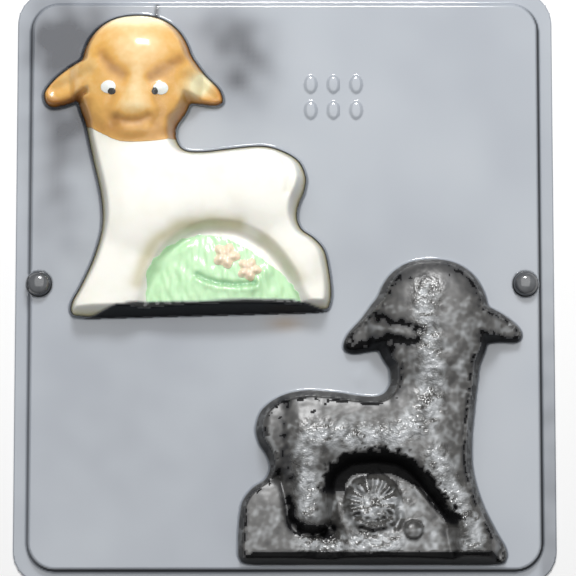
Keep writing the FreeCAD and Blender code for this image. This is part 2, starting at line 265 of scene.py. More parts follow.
def front_outline(points):
    return lamb_distance(to_front(points), FRONT_LOOPS)


def back_outline(points):
    return lamb_distance(to_back(points), BACK_LOOPS)


# Swells of the relief


def stroke(points, start, end, radii, heights, power=2.6):
    """A swelling along a line, from one radius and height to another."""
    start, end = np.array(start, float), np.array(end, float)
    along = end - start
    share = np.clip(((points - start) @ along) / max(along @ along, 1e-9), 0, 1)
    gap = np.hypot(*(points - start - share[:, None] * along).T)
    radius = radii[0] + (radii[1] - radii[0]) * share
    height = heights[0] + (heights[1] - heights[0]) * share
    return height * np.maximum(1 - (gap / radius) ** power, 0) ** (1 / power)


def dome(points, centre, half, height, power=2.6, turn=0.0):
    x, y = (points - np.array(centre, float)).T
    c, s = math.cos(math.radians(turn)), math.sin(math.radians(turn))
    reach = np.hypot((c * x + s * y) / half[0], (c * y - s * x) / half[1])
    return height * np.maximum(1 - reach ** power, 0) ** (1 / power)


def bump(points, centre, half, height, turn=0.0):
    """A soft raised or sunk patch."""
    x, y = (points - np.array(centre, float)).T
    c, s = math.cos(math.radians(turn)), math.sin(math.radians(turn))
    return height * np.exp(-((c * x + s * y) / half[0]) ** 2 - ((c * y - s * x) / half[1]) ** 2)


def ridge(points, line, width, height):
    """A soft raised or sunk line."""
    gap = line_distance(points, np.array(line, float))
    return height * np.exp(-(gap / width) ** 2)


def blended(swells, power=7.0):
    return sum(swell ** power for swell in swells) ** (1 / power)


def wandering(points, size, seed):
    """Noise between about -1 and 1 whose patches are about as wide as the size."""
    return np.array([noise.noise(Vector((x / size, y / size, seed))) for x, y in points])


def carved(points, lines, patches):
    """The sum of raised or sunk lines and patches."""
    return (sum(ridge(points, *line) for line in lines)
            + sum(bump(points, *patch) for patch in patches))


# What both halves share: the domed head, the two ears, and the least height inside the walls
HEAD_DOME = ((-22.3, 89.5), (25.5, 26.5), 17.6, 2.5)
EAR_SWELLS = [((-36, 94), (-53.5, 85.9), (11.5, 6.3), (9.5, 5.0)),
              ((-8, 93), (8.5, 82), (12.0, 5.5), (9.5, 4.6))]
LEAST_HEIGHT = 3.2


def head_and_ears(points):
    ears = [stroke(points, *swell) for swell in EAR_SWELLS]
    return [dome(points, *HEAD_DOME), *ears, np.full(len(points), LEAST_HEIGHT)]


# Front half: the painted lamb with its mound of grass and two flowers
FRONT_SWELLS = [
    ((-22.5, 72), (-20, 42), (22, 22), (14.4, 15.4)),
    ((-15, 49), (28, 48), (21, 21), (14.6, 15.4)),
    ((-22, 36), (-36, 5), (19, 17), (14.4, 13.0)),
    ((28, 44), (33, 22), (19, 17), (15.2, 13.6)),
    ((38, 22), (38, 3), (16, 16), (12.8, 12.6)),
]
FRONT_ARCH = closed_curve([(-22, -8), (-20.5, 6), (-16, 18), (-8, 27), (3, 32), (14, 31),
                           (24, 26), (31, 18), (36, 8), (38, -8)])
FRONT_MOUND = ((7.5, -4), (38, 38), 12.4, 2.2)
FRONT_MOUND_LEAST = 7.6
FLOWERS = {"left": ((9.9, 21.4), 4.5), "right": ((18.3, 16.0), 4.0)}
PETALS = 5
PETAL_TURN = 0.6
EYES = {"left": (-32.3, 85.0), "right": (-12.8, 84.0)}
EYE_HALF = (2.8, 2.4)
PUPILS = {"left": (-31.0, 83.3), "right": (-15.0, 82.9)}
PUPIL_HALVES = {"left": (1.5, 1.2), "right": (1.15, 1.3)}
BROWS = [[(-34.6, 98.0), (-30.6, 92.4), (-26.4, 89.4)],
         [(-5.6, 95.2), (-11.0, 91.8), (-16.2, 88.4)]]
EYE_RIDGES = [[(-36.0, 98.0), (-38.6, 91.9), (-40.0, 85.1)],
              [(-2.0, 92.6), (-3.9, 87.3), (-5.8, 79.7)]]
NOSE = [(-22.1, 93), (-22.2, 79)]
MOUTH = [(-29.2, 73.7), (-26.5, 72.5), (-23.6, 72.0), (-20.8, 72.5), (-18.0, 73.8)]
CHEEKS = [[(-31, 81.5), (-33, 76), (-30.5, 71)], [(-14.5, 81), (-13.2, 76), (-15.5, 71)]]
EAR_FOLDS = [[(-40, 91.0), (-46, 89.0), (-53.5, 86.4)], [(-3.0, 88.4), (1.5, 85.6), (6.6, 81.6)]]
GRASS_VEIN = [(-1.0, 14.6), (2.4, 12.6), (7.0, 11.3), (13.0, 10.5), (20.0, 10.8)]
FRONT_TAIL = [(32.0, 56.6), (34.6, 50.2), (33.4, 44.6)]
# Lines with their half width and height, patches with their half sizes, height and turn
FRONT_LINES = [
    (GRASS_VEIN, 1.1, -0.9), ([(x, y - 2.1) for x, y in GRASS_VEIN], 1.2, 0.5),
    ([(-15, 18), (-10.5, 22), (-4, 25.4)], 1.8, 0.7), ([(19, 8), (25, 15)], 2.0, 0.6),
    *[(brow, 3.2, -0.55) for brow in BROWS], *[(line, 2.0, 0.25) for line in EYE_RIDGES],
    (NOSE, 3.4, 0.6), (MOUTH, 1.6, -0.6), *[(cheek, 2.0, -0.45) for cheek in CHEEKS],
    *[(fold, 2.4, -1.2) for fold in EAR_FOLDS], (FRONT_TAIL, 1.6, -0.6),
]
# Brow, muzzle, chin and rump, then a hollow and a ball for each eye
FRONT_PATCHES = [
    ((-21.5, 101), (12, 8), 0.8), ((-23.6, 77.2), (8.6, 4.8), 0.9),
    ((-23.0, 68.4), (8.0, 2.8), 1.0), ((38.0, 49), (3.0, 7.5), 0.6),
    *[(eye, (5.0, 4.2), -1.1) for eye in EYES.values()],
    *[(eye, (2.9, 2.5), 1.4) for eye in EYES.values()],
]


def petal_reach(points, centre, radius):
    """How far out each point lies in a flower of rounded petals, 1 at its edge, and its turn."""
    petals = points - np.array(centre)
    turn = np.arctan2(petals[:, 1], petals[:, 0])
    edge = radius * (1 + 0.16 * np.cos(PETALS * turn + PETAL_TURN) + 0.05 * np.cos(3 * turn))
    return np.hypot(*petals.T) / edge, turn


def front_relief(points):
    """Height of the front lamb over the panel."""
    body = blended(head_and_ears(points) + [stroke(points, *swell) for swell in FRONT_SWELLS])
    inside = loop_distance(points, FRONT_ARCH)
    mound = blended([dome(points, *FRONT_MOUND), np.full(len(points), FRONT_MOUND_LEAST)])
    sink = smooth_step((inside + 3.2) / 6.0)
    height = body * (1 - sink) + mound * sink
    height += carved(points, FRONT_LINES, FRONT_PATCHES)
    # Blades of grass are brushed over the mound
    blades = wandering(points * (1.6, 0.7), 2.6, 3.3)
    height += 0.45 * blades * smooth_step((inside - 1.0) / 4.0)
    for centre, radius in FLOWERS.values():
        reach, turn = petal_reach(points, centre, radius)
        lobes = np.cos(PETALS * turn + PETAL_TURN)
        cupped = 1 + 0.30 * lobes * smooth_step((reach - 0.2) / 0.5)
        height += 1.3 * cupped * smooth_step(1.9 * (1.04 - reach))
        height += bump(points, centre, (0.9, 0.9), -0.5)
    return height


# Back half: the fleece side, with a rosette of leaves and a bud on the mound
BACK_SWELLS = [
    ((-22.5, 72), (-20, 42), (20, 20), (14.2, 15.4)),
    ((-15, 50), (27, 50), (18, 18.5), (14.8, 15.6)),
    ((-22, 36), (-34, 8), (15, 13), (14.6, 13.0)),
    ((24, 46), (24, 19), (13, 8.5), (15.6, 13.4)),
]
# The rump and the ground on both sides of the mound
BACK_DOMES = [((40, 48), (12, 17), 10.6, 2.8), ((41, 8), (22, 26), 9.6, 3.0),
              ((20, 0), (22, 14), 7.6, 3.0)]
BACK_ARCH = closed_curve([
    (18.5, 26), (17.8, 33), (11.5, 40), (3, 41.8), (-6, 41.6), (-13, 39.4), (-19, 34),
    (-24, 27.5), (-30, 18.5), (-31.5, 12), (-30, -8), (13, -8), (14, 9), (17, 16)])
BACK_MOUND = ((-4, -8), (34, 44), 10.6, 2.2)
BACK_MOUND_LEAST = 6.0
ROSETTE = (0.4, 22.6)
ROSETTE_HALF = (10.6, 11.4)
ROSETTE_LEAVES = 13
BUD = ((-14.4, 13.1), (3.6, 3.6), 2.6, 2.2)
FORE_FOOT = ((-33.4, 14.9), (3.0, 5.0), 1.2, 2.2, 20)
NAPE_FOLDS = [[(-1.5, 91.6), (-5.1, 90.3), (-9.5, 89.0), (-16.7, 86.5), (-26, 85.5)],
              [(-4.5, 83.4), (-9, 82.8), (-14.9, 82.4), (-20.3, 80.4), (-27, 79.6)]]
HIND_LEG_CREASE = [(31.2, 30), (31.2, 24), (31.2, 17.3), (29.2, 14.6), (26.4, 13.1),
                   (20.1, 12.0), (16.4, 12.8)]
TAIL_CREASE = [(33.8, 60), (34.1, 55.5), (33.6, 48), (33.2, 42), (31.2, 31)]
BACK_LINES = [
    (TAIL_CREASE, 3.2, -1.2), (HIND_LEG_CREASE, 2.2, -1.9),
    ([(-29.8, 20), (-29.8, 14), (-32.0, 9.6)], 1.6, -0.8),
    *[(fold, 2.4, -0.7) for fold in NAPE_FOLDS],
    # Deep cuts between the lower leaves, and a stem
    ([(6.4, 18.4), (2.8, 16.4), (-1.6, 15.8), (-5.2, 17.6)], 1.1, -1.8),
    ([(4.8, 13.4), (0.5, 12.2), (-3.6, 13.0)], 1.0, -1.6),
    ([(-8.6, 21), (-9.6, 17.5), (-8.2, 14.4)], 1.2, -1.8),
    ([(-15.1, 28.6), (-20.5, 22), (-26.1, 15.6)], 1.5, 0.8),
]
# The tail, the hock, and the rosette's hollow with its heart
BACK_PATCHES = [((39.4, 50), (2.6, 5.5), 0.8), ((23, 18), (5, 4), 1.0),
                (ROSETTE, (4.8, 4.8), -1.2),
                ((ROSETTE[0] - 1.0, ROSETTE[1] - 1.4), (1.9, 1.7), 1.5)]
CROWN = 97
# Ridges where the drawn sheet is polished glossiest and its colour painted lighter as a highlight:
# the spine of the neck, the flank, the legs
POLISHED_LINES = [
    [(-19.6, 101), (-18.5, 91.8), (-20.3, 77), (-21.6, 64), (-18.5, 53), (-8, 47.6), (24, 47.6)],
    [(27, 40), (25.5, 28), (25, 18)], [(-22, 40), (-28, 28), (-34, 16)],
    [(24, 8.5), (14, 8)], [(6, 8.4), (-6, 8.4)], [(-34, 9), (-38, 8)],
]


def back_relief(points, distance):
    """Height of the back lamb over the panel."""
    body = blended(head_and_ears(points)
                   + [stroke(points, *swell) for swell in BACK_SWELLS]
                   + [dome(points, *swell) for swell in BACK_DOMES])
    inside = loop_distance(points, BACK_ARCH)
    mound = blended([dome(points, *BACK_MOUND), np.full(len(points), BACK_MOUND_LEAST)])
    sink = smooth_step((inside + 0.4) / 5.2)
    height = body * (1 - sink) + mound * sink
    height += carved(points, BACK_LINES, BACK_PATCHES)
    height += dome(points, *FORE_FOOT) + dome(points, *BUD)
    # Rosette: a ring of leaves round a heart
    petals = points - np.array(ROSETTE)
    turn = np.arctan2(petals[:, 1], petals[:, 0])
    reach = np.hypot(*(petals / ROSETTE_HALF).T)
    leaves = 0.8 * np.cos(ROSETTE_LEAVES * turn + 1.2 * np.sin(3 * turn))
    leaves *= smooth_step((reach - 0.30) / 0.35)
    height += smooth_step((1.06 - reach) / 0.30) * (2.4 + leaves)
    # Fleece, tallest on the polished ridges and lower on the crown of the head
    wool = smooth_step(distance / 3.5) * smooth_step((points[:, 1] - 3) / 3)
    wool *= 0.30 + 0.85 * np.minimum(polished(points), 1)
    lumps = wandering(points, 3.6, 1.7) * 0.75 + wandering(points, 1.7, 5.1) * 0.30
    return height + lumps * wool * (1 - 0.5 * (points[:, 1] > CROWN))


def polished(points):
    """1 along the bright ridges of the back lamb and on its rosette, falling off beside them."""
    share = bump(points, ROSETTE, (11, 11), 0.8)
    for line in POLISHED_LINES:
        share = np.maximum(share, ridge(points, line, 4.6, 1.0))
    return share


def lamb_height_over_panel(points, distance, relief, crest):
    """The relief inside its drafted walls, flowing out into the panel at its foot."""
    walls = WALL_SLOPE * distance
    base = BASE_SLOPE * points[:, 1]
    skin = smooth_min(smooth_min(relief, walls, crest), base, BASE_CREST)
    return smooth_max(skin, np.zeros(len(points)), FOOT_FILLET)


# The formed sheet

# Six plain pips in two rows, and each one's half sizes, height and squareness
PIPS = [(x, y) for y in (75.9, 66.0) for x in (9.8, 18.4, 27.0)]
PIP_SHAPE = ((2.4, 3.5), 0.9, 2.4)
NAPE_WEB = [(-48.4, 106.2), (-48.8, 101.0)]
BACK_WEB = ((28.0, -35.5), (1.0, 2.4), 1.1, 25)
# Darker patches on the panel, partly painted dim reflection: centre, half sizes, strength, turn
DIM_PATCHES = [
    ((-17.4, 85.0), (12.0, 16.0), 1.05, 12), ((-36.0, 76.0), (6.0, 9.0), 0.55, 20),
    ((-24.0, 97.0), (15.0, 6.0), 0.40), ((-82.0, 61.0), (15.0, 14.0), 0.75),
    ((-86.0, 35.0), (11.0, 26.0), 0.55), ((-88.0, 92.0), (8.0, 15.0), 0.70),
    ((-80.0, 92.0), (20.0, 19.0), 0.80), ((-75.0, 88.0), (8.0, 16.0), 0.60),
    ((-70.0, 8.0), (18.0, 14.0), 0.15), ((-60.0, -60.0), (42.0, 50.0), 0.12),
    ((81.5, -18.5), (5.5, 6.0), 0.40),
]
# A brown patch on the panel just south of the painted lamb's base
BROWN_PATCH = ((0.1, -14.6), (6.5, 2.8), 0.7)

# Cells of the mesh, and how far past a zone, in cells, they stay fine
COARSE = 1.0
MEDIUM = 0.5
FINE = 0.25
FIRST_CELL = 2.0
ZONE_MARGIN = 2.9
# The front head, above this line in the lamb's own frame, has the finer mesh
CHIN = 66

RIM_FOOT_BLEND = 0.9
RIM_CREST_BLEND = 1.6
FOOT_REACH = 3

# How a face is told for a wall: inside its line, over the foot, and as low as the wall there
WALL_EDGE = 0.15
FOOT_HEIGHT = 0.6
WALL_TOLERANCE = 0.5
BASE_TOLERANCE = 0.4
# Faces of the hollow whose lightest painted shade stays below this get the dull styrene, so that
# the painted shadow there shows no reflection
DARKEST_PAINTED_SHADE = 0.28

# The painted dark line along an outline, and the painted black on each base wall: its height, then
# where each end starts and over what length it rises
OUTLINE_REACH = 1.5
OUTLINE_STEP = 0.05
LINE_DARKNESS = 0.9
FRONT_LENS = (5.0, (-46, 20), (52, 22))
BACK_LENS = (5.6, (-50, 7), (50.5, 6))
# Painted shadow under the ears, in the hind leg's crease, in the folds of the nape and by the tail
PAINTED_SHADOW_FOLDS = [
    ([(9.6, 79.4), (4.5, 80.6), (-0.5, 81.2), (-4.5, 80.0)], 3.0, 1.5),
    ([(-40.2, 84.4), (-41.0, 80.5), (-46, 81.8), (-52.5, 82.0)], 2.2, 1.5),
    (HIND_LEG_CREASE[1:], 1.9, 1.2), (NAPE_FOLDS[0][:4], 1.7, 1.1),
    (NAPE_FOLDS[1][:3], 2.0, 1.2), (TAIL_CREASE, 2.6, 0.4),
]


def button_radius(points):
    """How far each point lies from the middle of the nearer button."""
    gaps = [np.hypot(*(points - np.array(place[:2])).T) for place in BUTTON_PLACES.values()]
    return np.minimum(*gaps)


def button_distance(points):
    """Signed distance to the nearer button's foot, positive inside."""
    return BUTTON_FOOT_RADIUS - button_radius(points)


def sheet_zones(points):
    """Where the sheet has to be fine: the gap of each point to a zone, and the zone's cell."""
    front, back = front_outline(points), back_outline(points)
    plan = to_front(points)
    zones = [(0.9 - back, MEDIUM), (-0.2 - front, COARSE), (abs(front - 1.6) - 1.2, MEDIUM),
             (np.maximum(-0.2 - front, CHIN - plan[:, 1]), MEDIUM),
             (abs(np.maximum(front, back)) - 0.1, FINE),
             (abs(panel_outline(points) + 0.2) - 1.6, MEDIUM),
             (abs(sheet_outline(points)) - 0.4, MEDIUM),
             (abs(button_distance(points)) - 0.3, FINE)]
    spots = [(points, pip, 4.5, MEDIUM) for pip in PIPS]
    spots += [(plan, eye, 3.4, FINE) for eye in EYES.values()]
    spots += [(plan, centre, 1.4 * radius, MEDIUM) for centre, radius in FLOWERS.values()]
    return zones + [(np.hypot(*(places - np.array(middle)).T) - reach, cell)
                    for places, middle, reach, cell in spots]


def refined_grid(half_width, half_length, zones):
    """A flat grid, split finer step by step in its zones and a little round them."""
    bm = bmesh.new()
    bmesh.ops.create_grid(bm, x_segments=math.ceil(2 * half_width / FIRST_CELL),
                          y_segments=math.ceil(2 * half_length / FIRST_CELL), size=1)
    bmesh.ops.scale(bm, vec=(half_width, half_length, 1), verts=bm.verts)
    for step in (COARSE, MEDIUM, FINE):
        bm.verts.index_update()
        fine = np.zeros(len(bm.verts), bool)
        for gap, cell in zones(plan_of(bm)):
            if cell <= step:
                fine |= gap < ZONE_MARGIN * step
        edges = [edge for edge in bm.edges
                 if fine[edge.verts[0].index] and fine[edge.verts[1].index]]
        bmesh.ops.subdivide_edges(bm, edges=edges, cuts=1, use_grid_fill=True)
    bm.verts.index_update()
    return bm


def plan_of(bm):
    return np.array([vertex.co[:2] for vertex in bm.verts], float)


def slope_of(distance, points, step):
    """How fast a distance grows to the east and to the north of each point."""
    east = distance(points + (step, 0)) - distance(points - (step, 0))
    north = distance(points + (0, step)) - distance(points - (0, step))
    return np.stack([east, north], axis=1) / (2 * step)


def snap(bm, distance, reach):
    """Move the points that lie near a line onto it, so that the line cuts clean."""
    points = plan_of(bm)
    gap = distance(points)
    near = np.flatnonzero(abs(gap) < reach)
    slope = slope_of(distance, points[near], 0.02)
    size = np.maximum(np.einsum("ij,ij->i", slope, slope), 0.25)
    moved = points[near] - slope * (gap[near] / size)[:, None]
    bm.verts.ensure_lookup_table()
    for index, place in zip(near, moved):
        bm.verts[index].co.xy = place


def sheet_height(points):
    """Height of the sheet's upper face."""
    panel = panel_outline(points)
    rim = WALL + RIM_HEIGHT * (panel + RIM_RUN) / RIM_RUN
    height = smooth_min(smooth_max(rim, np.full(len(points), WALL), RIM_FOOT_BLEND),
                        np.full(len(points), PANEL_TOP), RIM_CREST_BLEND)
    front, back = front_outline(points), back_outline(points)
    near = front > -FOOT_REACH
    plan = to_front(points[near])
    height[near] += lamb_height_over_panel(plan, front[near], front_relief(plan), CREST_FRONT)
    near = back > -FOOT_REACH
    plan = to_back(points[near])
    height[near] += lamb_height_over_panel(plan, back[near], back_relief(plan, back[near]),
                                           CREST_BACK)
    for pip in PIPS:
        height += dome(points, pip, *PIP_SHAPE)
    height += ridge(points, NAPE_WEB, 0.7, 0.35) * smooth_step((panel - 0.5) / 2)
    return height + bump(points, *BACK_WEB)


def delete_faces(bm, unwanted):
    faces = [face for face in bm.faces if unwanted[face.index]]
    bmesh.ops.delete(bm, geom=faces, context="FACES")
    bm.faces.index_update()
    bm.verts.index_update()


def face_plan(bm):
    bm.faces.index_update()
    return np.array([face.calc_center_median()[:2] for face in bm.faces], float)


def set_heights(bm, heights):
    for vertex, height in zip(bm.verts, heights):
        vertex.co.z = height


def thicken(bm, depths):
    """Give a skin its wall: the face stays, a copy goes down and sides join the two."""
    bm.normal_update()
    under = {vertex: vertex.co - vertex.normal * depth for vertex, depth in zip(bm.verts, depths)}
    faces = bm.faces[:]
    bmesh.ops.extrude_face_region(bm, geom=faces, use_keep_orig=True)
    for vertex, place in under.items():
        vertex.co = place
    bmesh.ops.reverse_faces(bm, faces=faces)
    bm.normal_update()


def mesh_from(name, bm):
    mesh = bpy.data.meshes.new(name)
    bm.to_mesh(mesh)
    bm.free()
    return mesh


def bmesh_from(mesh):
    bm = bmesh.new()
    bm.from_mesh(mesh)
    return bm


def put_in_scene(name, data):
    thing = bpy.data.objects.new(name, data)
    bpy.context.collection.objects.link(thing)
    return thing


def turned_button(place):
    """A button as a turned shell: the profile spun round its axis."""
    bm = bmesh.new()
    profile = [bm.verts.new((place.x + radius, place.y, PANEL_TOP + height))
               for radius, height in BUTTON_PROFILE]
    edges = [bm.edges.new(ends) for ends in zip(profile, profile[1:])]
    bmesh.ops.spin(bm, geom=profile + edges, cent=place, axis=(0, 0, 1),
                   angle=2 * math.pi, steps=BUTTON_SIDES, use_merge=True)
    bmesh.ops.remove_doubles(bm, verts=bm.verts, dist=0.001)
    bmesh.ops.recalc_face_normals(bm, faces=bm.faces)
    if max(bm.faces, key=lambda face: face.calc_center_median().z).normal.z < 0:
        bmesh.ops.reverse_faces(bm, faces=bm.faces)
    return mesh_from("button", bm)


def new_piece(name, bm, materials, body, node):
    """A finished piece in metres, smooth, riding on its body, with its node's part hidden."""
    bmesh.ops.scale(bm, vec=(MM, MM, MM), verts=bm.verts)
    for face in bm.faces:
        face.smooth = True
    mesh = mesh_from(name, bm)
    for material in materials:
        mesh.materials.append(material)
    piece = put_in_scene(name, mesh)
    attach(piece, body)
    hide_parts(node)


def dull_faces(bm):
    """Faces for the dull styrene: standing walls, and the faces painted darkest as shadow in the
    hollow.
    """
    plan = face_plan(bm)
    height = np.array([face.calc_center_median().z for face in bm.faces]) - PANEL_TOP
    front_plan, back_plan = to_front(plan), to_back(plan)
    back, panel, radius = back_outline(plan), panel_outline(plan), button_radius(plan)
    inside = loop_distance(back_plan, BACK_ARCH)
    hollow = (back > WALL_EDGE) & (height > FOOT_HEIGHT)
    wall = hollow & (WALL_SLOPE * back - height < WALL_TOLERANCE)
    wall |= hollow & (BASE_SLOPE * back_plan[:, 1] - height < BASE_TOLERANCE)
    wall |= (back > 3) & (inside > 0.6) & (inside < 4.4) & (back_plan[:, 1] > 14)
    wall |= ((front_outline(plan) > WALL_EDGE)
             & (BASE_SLOPE * front_plan[:, 1] - height < BASE_TOLERANCE))
    wall |= (panel > WALL_EDGE - RIM_RUN) & (panel < -WALL_EDGE)
    wall |= (radius > BUTTON_WALL_RADIUS) & (radius < BUTTON_FOOT_RADIUS - 0.3)
    painted_shade_and_tone = bm.verts.layers.float["painted_shade_and_tone"]
    lightest = np.array([max(vertex[painted_shade_and_tone] for vertex in face.verts) for face in bm.faces])
    return wall | ((lightest < DARKEST_PAINTED_SHADE) & (back > 0))


def formed_sheet(materials):
    """The whole sheet as one skin, given its wall, then parted into three pieces."""
    bm = refined_grid(SHEET_WIDTH / 2, SHEET_LENGTH / 2, sheet_zones)
    snap(bm, sheet_outline, SHEET_SNAP)
    delete_faces(bm, sheet_outline(face_plan(bm)) < 0)
    snap(bm, button_distance, BUTTON_SNAP)
    delete_faces(bm, button_distance(face_plan(bm)) > 0)
    snap(bm, front_outline, LAMB_SNAP)
    snap(bm, back_outline, LAMB_SNAP)
    set_heights(bm, sheet_height(plan_of(bm)))
    for place in BUTTON_PLACES.values():
        button = turned_button(place)
        bm.from_mesh(button)
        bpy.data.meshes.remove(button)
    bmesh.ops.remove_doubles(bm, verts=bm.verts, dist=0.01)
    bm.normal_update()
    shade_sheet(bm)
    for face, dull in zip(bm.faces, dull_faces(bm)):
        face.material_index = int(dull)
    points = plan_of(bm)
    front = front_outline(points)
    thinned = smooth_step((np.maximum(front, back_outline(points)) + 0.5) / 1.2)
    skin = bm.verts[:]
    thicken(bm, WALL + (DRAWN_WALL - WALL) * thinned)
    # The inner skin is clear right down to the foot, so that light reaches the casting's sides
    layer = bm.verts.layers.float["clear"]
    for vertex, share in zip(skin, smooth_step((front + 0.7) / 0.3)):
        vertex[layer] = share
    x, y = face_plan(bm).T
    whole = mesh_from("sheet", bm)
    front_part = (x < FRONT_EAST) & (y > FRONT_SOUTH)
    back_part = (x > BACK_WEST) & (y < BACK_NORTH) & ~front_part
    for name, mask in (("front_cavity", front_part), ("back_cavity", back_part),
                       ("flat_panel", ~(front_part | back_part))):
        part = bmesh_from(whole)
        part.faces.index_update()
        delete_faces(part, ~mask)
        new_piece(name, part, materials, "mould", "mould_sheet")
    bpy.data.meshes.remove(whole)


def outward(distance, points, values):
    """Which way each point near an outline lies from its inside."""
    near = abs(values) < OUTLINE_REACH
    away = np.zeros((len(points), 2))
    away[near] = -slope_of(distance, points[near], OUTLINE_STEP)
    return away


def by_direction(facing, north, east, south, west):
    """A value for each point from the way it faces in plan."""
    across = facing[:, :2].T
    x, y = across / np.maximum(np.hypot(*across), 1e-6)
    return (north * np.maximum(y, 0) ** 2 + south * np.maximum(-y, 0) ** 2
            + east * np.maximum(x, 0) ** 2 + west * np.maximum(-x, 0) ** 2)


def band(value, start, end, soft):
    """1 between two values, falling off softly at both."""
    rise = smooth_step((value - start) / soft + 0.5)
    return rise * (1 - smooth_step((value - end) / soft + 0.5))


def lens_top(x, height, west, east):
    """How high the painted black on the wall of a lamb's base reaches."""
    return height * smooth_step((x - west[0]) / west[1]) * smooth_step((east[0] - x) / east[1])


def panel_painted_shade(points, normals, steep, front, back):
    """Painted shade on the panel: its rim, the lambs' feet and the web fold, darkest to the south.
    """
    edge = band(panel_outline(points), -1.3, 0.2, 0.4)
    rim = 1 - steep * (1 - by_direction(normals, 1.0, 0.05, 0.02, 0.40)) * edge
    away = outward(front_outline, points, front)
    front_line = band(front, -0.20, 0.30, 0.3) * by_direction(away, 0.0, 0.40, 0.75, 0.55)
    away = outward(back_outline, points, back)
    back_line = band(back, -0.35, 0.30, 0.3) * by_direction(away, 0.0, 0.65, 0.98, 0.10)
    web = ridge(points, NAPE_WEB, 0.8, 0.85)
    return rim * (1 - LINE_DARKNESS * front_line) * (1 - LINE_DARKNESS * back_line) * (1 - web)


def cavity_shadow(plan, inside):
    """Ragged black in the hollow: along its arch, in its folds and on the wall of its base."""
    x, y = plan.T
    reach = smooth_step((y - np.where(x > 5, 24, 13)) / 5)
    ragged = 3.4 * wandering(plan, 3.2, 5.9) + 3.0 * wandering(plan, 1.3, 3.7)
    deep = 8.2 - 3.4 * smooth_step((-x - 8) / 12)
    shadow = band(inside + ragged * (inside < 3.4), -0.4, deep, 1.0) * reach
    soft = 1 + 0.9 * wandering(plan, 2.2, 2.9)
    for fold in PAINTED_SHADOW_FOLDS:
        shadow = np.maximum(shadow, ridge(plan, *fold) * soft * soft)
    lens = lens_top(x, *BACK_LENS) + 0.4 * wandering(plan, 2.2, 7.9)
    return np.clip(np.maximum(shadow, smooth_step((lens - y) / 0.8)), 0, 1)


def cavity_painted_shade(plan, normals, height, steep, back, shine):
    """Painted shade in the hollow: mottled tops, walls by the way they face, a broken crest line.
    """
    inside = loop_distance(plan, BACK_ARCH)
    # Mottled tops, painted lighter as highlight along the polished ridges and on the mound
    tops = (0.63 + 0.26 * shine + 0.30 * wandering(plan, 5.0, 8.1)
            + 0.24 * wandering(plan, 1.8, 2.2) + 0.12 * smooth_step((inside - 8) / 2))
    # Painted shade on the slopes that face north
    tops *= 1 - 0.46 * smooth_step((normals[:, 1] - 0.08) / 0.30)
    # Walls painted by the way they face, black to the south
    walls = by_direction(normals, 0.62, 0.70, 0.02, 0.66) + 0.12 * wandering(plan, 2.4, 6.6)
    # A broken line of painted shade along the top of the walls
    crest = np.exp(-((WALL_SLOPE * back - height - 4.2) / 3.8) ** 2) * (height > 3)
    dashes = wandering(plan, 3.4, 4.4) + wandering(plan, 1.4, 9.4)
    painted_shade_and_tone = tops + (walls - tops) * steep
    painted_shade_and_tone *= 1 - 0.88 * crest * smooth_step((dashes + 0.04) / 0.16)
    return painted_shade_and_tone * (1 - 0.98 * cavity_shadow(plan, inside))


def dim_patch_strength(points):
    """Uneven darker patches, partly painted dim reflection, and a strip of painted shade by the
    east edge.
    """
    x, y = points.T
    dim_patch = carved(points, [], DIM_PATCHES)
    dim_patch += 0.55 * smooth_step((x - 94) / 3) * smooth_step((60 - y) / 160)
    return dim_patch * (0.85 + 0.5 * wandering(points, 9.0, 1.1))


def keep_values(bm, layers):
    """Give every point its value in each named layer."""
    for name, values in layers.items():
        layer = bm.verts.layers.float.new(name)
        for vertex, value in zip(bm.verts, values):
            vertex[layer] = value


def shade_sheet(bm):
    """Where the sheet is clear or takes the hollow's colours, and its painted light and shade."""
    points = plan_of(bm)
    normals = np.array([vertex.normal for vertex in bm.verts], float)
    height = np.array([vertex.co.z for vertex in bm.verts]) - PANEL_TOP
    back_plan = to_back(points)
    front, back = front_outline(points), back_outline(points)
    steep = 1 - smooth_step((normals[:, 2] - 0.45) / 0.40)
    shine = np.minimum(polished(back_plan), 1)
    # Painted black on the wall of the front base, between the lamb's two pale feet
    x, y = to_front(points).T
    base = smooth_step((lens_top(x, *FRONT_LENS) - y) / 0.5)
    base *= (front > -0.3) * (x > -44) * (x < 50)
    clear = smooth_step((front - 0.30) / 0.25) * (1 - base)
    button = 1 - smooth_step((button_radius(points) - 4.9) / 0.3)
    hollow_share = np.maximum(smooth_step((back - 0.05) / 0.30), 0.6 * button)
    flat = panel_painted_shade(points, normals, steep, front, back)
    hollow = cavity_painted_shade(back_plan, normals, height, steep, back, shine)
    # Painted shade on the buttons: darker all over, and darkest on their walls, most to the south
    painted_shade_and_tone = (flat + (hollow - flat) * hollow_share) * (1 - 0.3 * button)
    painted_shade_and_tone *= 1 - button * steep * (0.75 + 0.25 * (normals[:, 1] < 0))
    layers = {"clear": clear, "hollow_share": hollow_share, "painted_shade_and_tone": painted_shade_and_tone * (1 - base),
              "dim_patch": dim_patch_strength(points), "warm_tint": bump(points, *BROWN_PATCH),
              "gloss": 1 - 0.85 * hollow_share * (1 - shine) * (1 - button),
              "fleece": hollow_share * shine * (1 - button)}
    keep_values(bm, {name: np.clip(shares, 0, 1) for name, shares in layers.items()})


# The painted casting

